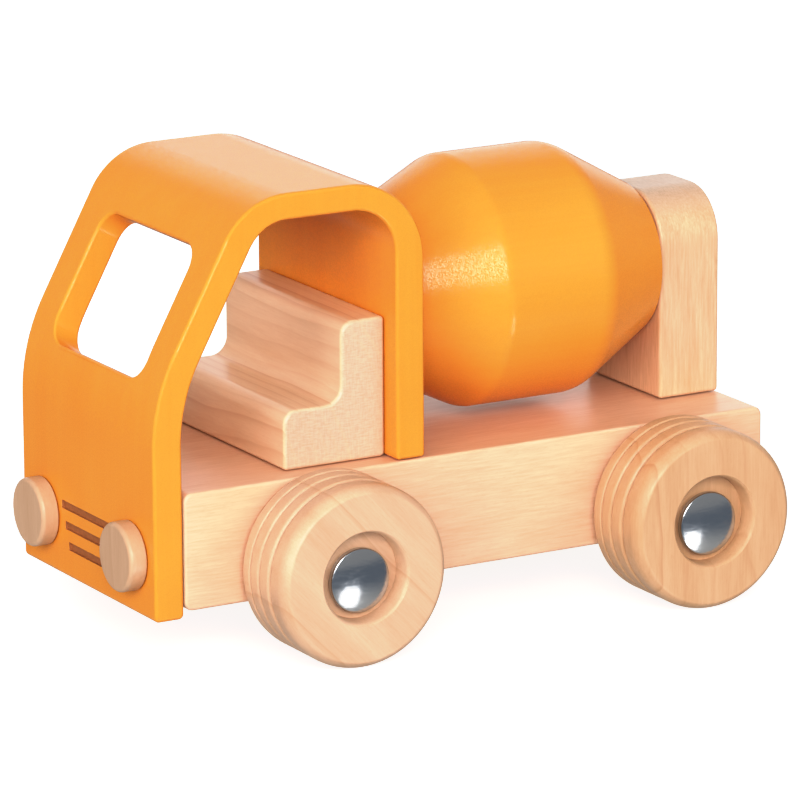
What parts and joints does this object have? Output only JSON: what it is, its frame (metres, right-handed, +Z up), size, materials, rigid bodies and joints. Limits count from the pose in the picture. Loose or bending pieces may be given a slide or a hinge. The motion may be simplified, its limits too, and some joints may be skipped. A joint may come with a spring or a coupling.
{
  "type": "toy cement mixer",
  "caption": "Wooden toy cement mixer truck with an open orange cab, a bench seat, a turned drum that spins and rolling grooved wheels with domed metal caps.",
  "frame": {"origin": "on the floor, in the middle of the truck's length and width", "axes": "+Z up, the front of the truck faces -Y, +X is the truck's left side"},
  "size_m": [0.128, 0.1941, 0.1244],
  "materials": {
    "beech_chassis": "smooth sanded, lightly oiled",
    "beech_seat": "smooth sanded, end grain at the sides",
    "beech_support": "smooth sanded, upright grain",
    "beech_headlight": "turned and sanded",
    "beech_wheel": "turned, satin lacquer",
    "orange_paint": "semi-gloss orange paint on wood",
    "axle_steel": "plain rod",
    "cap_steel": "polished dome",
    "dowel_wood": "plain birch dowel"
  },
  "bodies": {
    "truck": {"chassis": "beech_chassis", "cab_shell": "orange_paint", "bench_seat": "beech_seat", "drum_support": "beech_support", "drum_spindle": "dowel_wood", "headlight_left": "beech_headlight", "headlight_right": "beech_headlight", "cab_front_dowel_left": "dowel_wood", "cab_front_dowel_right": "dowel_wood", "cab_rear_dowel_left": "dowel_wood", "cab_rear_dowel_right": "dowel_wood", "seat_dowel_left": "dowel_wood", "seat_dowel_right": "dowel_wood", "support_dowel_left": "dowel_wood", "support_dowel_right": "dowel_wood"},
    "front_axle_set": {"front_axle": "axle_steel", "front_axle_cap_left": "cap_steel", "front_axle_cap_right": "cap_steel"},
    "rear_axle_set": {"rear_axle": "axle_steel", "rear_axle_cap_left": "cap_steel", "rear_axle_cap_right": "cap_steel"},
    "drum": {"mixing_drum": "orange_paint"},
    "front_wheel_left": {"front_wheel_left": "beech_wheel"},
    "front_wheel_right": {"front_wheel_right": "beech_wheel"},
    "rear_wheel_left": {"rear_wheel_left": "beech_wheel"},
    "rear_wheel_right": {"rear_wheel_right": "beech_wheel"}
  },
  "joints": [
    {"name": "front_axle_spin", "type": "hinge", "parent": "truck", "child": "front_axle_set", "pos_m": [0, -0.0422, 0.02352], "axis": [1, 0, 0], "continuous": true},
    {"name": "front_wheel_left_roll", "type": "hinge", "parent": "truck", "child": "front_wheel_left", "pos_m": [0.052, -0.0422, 0.02492], "axis": [1, 0, 0], "continuous": true},
    {"name": "front_wheel_right_roll", "type": "hinge", "parent": "truck", "child": "front_wheel_right", "pos_m": [-0.052, -0.0422, 0.02492], "axis": [1, 0, 0], "continuous": true},
    {"name": "rear_axle_spin", "type": "hinge", "parent": "truck", "child": "rear_axle_set", "pos_m": [0, 0.066, 0.02352], "axis": [1, 0, 0], "continuous": true},
    {"name": "rear_wheel_left_roll", "type": "hinge", "parent": "truck", "child": "rear_wheel_left", "pos_m": [0.052, 0.066, 0.02492], "axis": [1, 0, 0], "continuous": true},
    {"name": "rear_wheel_right_roll", "type": "hinge", "parent": "truck", "child": "rear_wheel_right", "pos_m": [-0.052, 0.066, 0.02492], "axis": [1, 0, 0], "continuous": true},
    {"name": "drum_spin", "type": "hinge", "parent": "truck", "child": "drum", "pos_m": [0, 0.03335, 0.0848], "axis": [0, 1, 0], "continuous": true}
  ]
}
